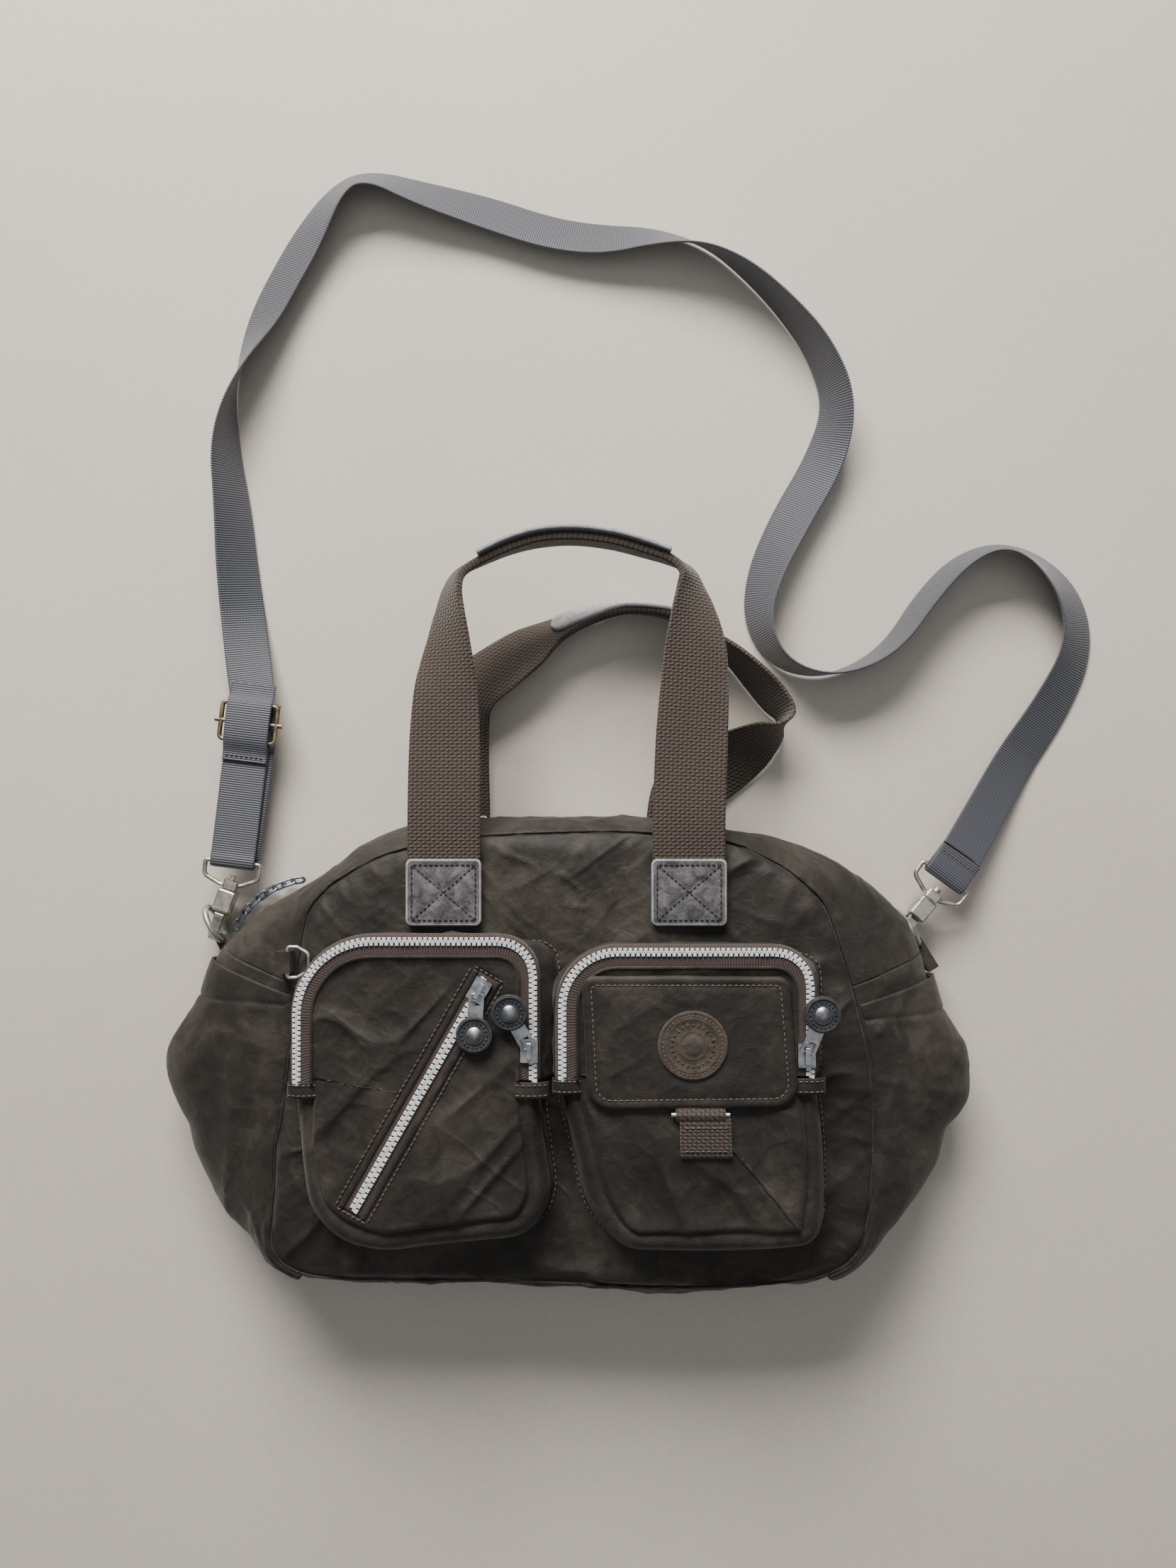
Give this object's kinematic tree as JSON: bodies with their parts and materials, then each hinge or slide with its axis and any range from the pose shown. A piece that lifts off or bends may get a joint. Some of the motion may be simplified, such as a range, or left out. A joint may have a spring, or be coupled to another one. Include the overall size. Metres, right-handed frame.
{
  "type": "duffel bag",
  "caption": "Small soft duffel-style shoulder bag with box pockets, a flap, webbing handles and a clip-on strap, lying on its back.",
  "frame": {"origin": "centre of the back panel's rest face, on the floor that the bag lies on", "axes": "+X across the bag to its right seen from the front, +Y towards the bag's top edge, +Z out of the front, away from the floor"},
  "size_m": [0.5104, 0.617, 0.0929],
  "materials": {
    "bag_fabric": "crinkled nylon twill",
    "lining_fabric": "thin woven",
    "zip_tape": "herringbone tape",
    "zip_teeth": "moulded teeth",
    "slider_metal": "worn nickel",
    "disc_rubber": "moulded",
    "handle_webbing": "coarse cotton webbing",
    "suede": "worn suede",
    "badge_leather": "embossed",
    "strap_webbing": "ribbed nylon webbing",
    "ring_metal": "patina",
    "hook_metal": "satin nickel",
    "chain_metal": "zinc plated",
    "fastener_pad": "touch fastener"
  },
  "bodies": {
    "bag": {"front_panel": "bag_fabric", "back_panel": "bag_fabric", "bottom_panel": "bag_fabric", "left_end_panel": "bag_fabric", "right_end_panel": "bag_fabric", "top_gusset": "bag_fabric", "left_side_pocket": "bag_fabric", "right_side_pocket": "bag_fabric", "left_pocket_gusset": "bag_fabric", "left_pocket_face": "bag_fabric", "right_pocket_gusset": "bag_fabric", "right_pocket_face": "bag_fabric", "ring_tabs": "bag_fabric", "lining": "lining_fabric", "main_zip_tape": "zip_tape", "main_zip_teeth": "zip_teeth", "left_pocket_zip_tape": "zip_tape", "left_pocket_zip_teeth": "zip_teeth", "diagonal_zip_tape": "zip_tape", "diagonal_zip_teeth": "zip_teeth", "right_pocket_zip_tape": "zip_tape", "right_pocket_zip_teeth": "zip_teeth", "pocket_pad": "fastener_pad", "handle_patches": "suede", "handle_tails": "handle_webbing", "charm_chain": "chain_metal", "strap_run": "strap_webbing", "strap_ends": "strap_webbing", "strap_adjuster": "hook_metal", "hook_loops": "hook_metal"},
    "front_handle": {"front_handle": "handle_webbing", "front_grip": "suede"},
    "rear_handle": {"rear_handle": "handle_webbing", "rear_grip": "suede"},
    "flap": {"flap": "bag_fabric", "flap_badge": "badge_leather", "flap_pull_tab": "handle_webbing", "flap_bar": "hook_metal", "flap_pad": "fastener_pad"},
    "front_d_ring": {"front_d_ring": "ring_metal"},
    "left_ring": {"left_ring": "ring_metal"},
    "right_ring": {"right_ring": "ring_metal"},
    "left_hook": {"left_hook": "hook_metal"},
    "right_hook": {"right_hook": "hook_metal"},
    "left_gate": {"left_gate": "hook_metal"},
    "right_gate": {"right_gate": "hook_metal"},
    "main_zip_slider": {"main_zip_slider": "slider_metal"},
    "main_zip_puller": {"main_zip_puller": "slider_metal", "main_zip_disc": "disc_rubber"},
    "left_pocket_zip_slider": {"left_pocket_zip_slider": "slider_metal"},
    "left_pocket_zip_puller": {"left_pocket_zip_puller": "slider_metal", "left_pocket_zip_disc": "disc_rubber"},
    "diagonal_zip_slider": {"diagonal_zip_slider": "slider_metal"},
    "diagonal_zip_puller": {"diagonal_zip_puller": "slider_metal", "diagonal_zip_disc": "disc_rubber"},
    "right_pocket_zip_slider": {"right_pocket_zip_slider": "slider_metal"},
    "right_pocket_zip_puller": {"right_pocket_zip_puller": "slider_metal", "right_pocket_zip_disc": "disc_rubber"}
  },
  "joints": [
    {"name": "front_handle_hinge", "type": "hinge", "parent": "bag", "child": "front_handle", "pos_m": [0, 0.1152, 0.0661], "axis": [1, 0, 0], "range_deg": [0, 100]},
    {"name": "rear_handle_hinge", "type": "hinge", "parent": "bag", "child": "rear_handle", "pos_m": [0, 0.138, 0.0037], "axis": [1, 0, 0], "range_deg": [0, 60]},
    {"name": "flap_hinge", "type": "hinge", "parent": "bag", "child": "flap", "pos_m": [0.06, 0.0565, 0.0875], "axis": [-1, 0, 0], "range_deg": [0, 120]},
    {"name": "front_d_ring_swing", "type": "hinge", "parent": "bag", "child": "front_d_ring", "pos_m": [-0.1455, 0.061, 0.0656], "axis": [0, -1, 0], "range_deg": [0, 150]},
    {"name": "left_ring_swing", "type": "hinge", "parent": "bag", "child": "left_ring", "pos_m": [-0.19308, 0.06581, 0.0176], "axis": [0, 0, 1], "range_deg": [-2.5, 6]},
    {"name": "right_ring_swing", "type": "hinge", "parent": "bag", "child": "right_ring", "pos_m": [0.19632, 0.06401, 0.0176], "axis": [0, 0, 1], "range_deg": [-6, 6]},
    {"name": "left_hook_swivel", "type": "hinge", "parent": "bag", "child": "left_hook", "pos_m": [-0.19048, 0.09588, 0.016], "axis": [0.3419, 0.9397, 0], "range_deg": [-8, 8]},
    {"name": "left_gate_open", "type": "hinge", "parent": "left_hook", "child": "left_gate", "pos_m": [-0.19355, 0.08742, 0.0066], "axis": [-0.9397, 0.3419, 0], "range_deg": [0, 22], "stiffness_Nm_per_rad": 0.004, "springref_deg": -20.05},
    {"name": "right_hook_swivel", "type": "hinge", "parent": "bag", "child": "right_hook", "pos_m": [0.20465, 0.09001, 0.016], "axis": [0.6342, 0.7732, 0], "range_deg": [-8, 8]},
    {"name": "right_gate_open", "type": "hinge", "parent": "right_hook", "child": "right_gate", "pos_m": [0.19894, 0.08305, 0.0066], "axis": [-0.7732, 0.6342, 0], "range_deg": [0, 22], "stiffness_Nm_per_rad": 0.004, "springref_deg": -20.05},
    {"name": "main_zip_run", "type": "hinge", "parent": "bag", "child": "main_zip_slider", "pos_m": [0, -0.4775, 0.017], "axis": [0, 0, -1], "range_deg": [0, 7.5]},
    {"name": "left_pocket_zip_run", "type": "slide", "parent": "bag", "child": "left_pocket_zip_slider", "axis": [0, 1, 0], "range_m": [0, 0.03]},
    {"name": "diagonal_zip_run", "type": "slide", "parent": "bag", "child": "diagonal_zip_slider", "axis": [-0.4955, -0.8686, 0], "range_m": [0, 0.115]},
    {"name": "right_pocket_zip_run", "type": "slide", "parent": "bag", "child": "right_pocket_zip_slider", "axis": [0, 1, 0], "range_m": [0, 0.026]},
    {"name": "main_zip_pull", "type": "hinge", "parent": "main_zip_slider", "child": "main_zip_puller", "pos_m": [-0.0529, 0.1337, 0.0157], "axis": [0.0267, -0.324, -0.9457], "range_deg": [0, 25]},
    {"name": "left_pocket_zip_pull", "type": "hinge", "parent": "left_pocket_zip_slider", "child": "left_pocket_zip_puller", "pos_m": [-0.0185, 0.0215, 0.0878], "axis": [0.8829, 0.4695, 0], "range_deg": [0, 130]},
    {"name": "diagonal_zip_pull", "type": "hinge", "parent": "diagonal_zip_slider", "child": "diagonal_zip_puller", "pos_m": [-0.04462, 0.04838, 0.0886], "axis": [-0.9981, 0.061, 0], "range_deg": [0, 130]},
    {"name": "right_pocket_zip_pull", "type": "hinge", "parent": "right_pocket_zip_slider", "child": "right_pocket_zip_puller", "pos_m": [0.1217, 0.019, 0.0878], "axis": [0.9272, -0.3746, 0], "range_deg": [0, 130]}
  ],
  "couplings": [
    {"joint": "rear_handle_hinge", "follows": "front_handle_hinge", "ratio": 0.6}
  ]
}
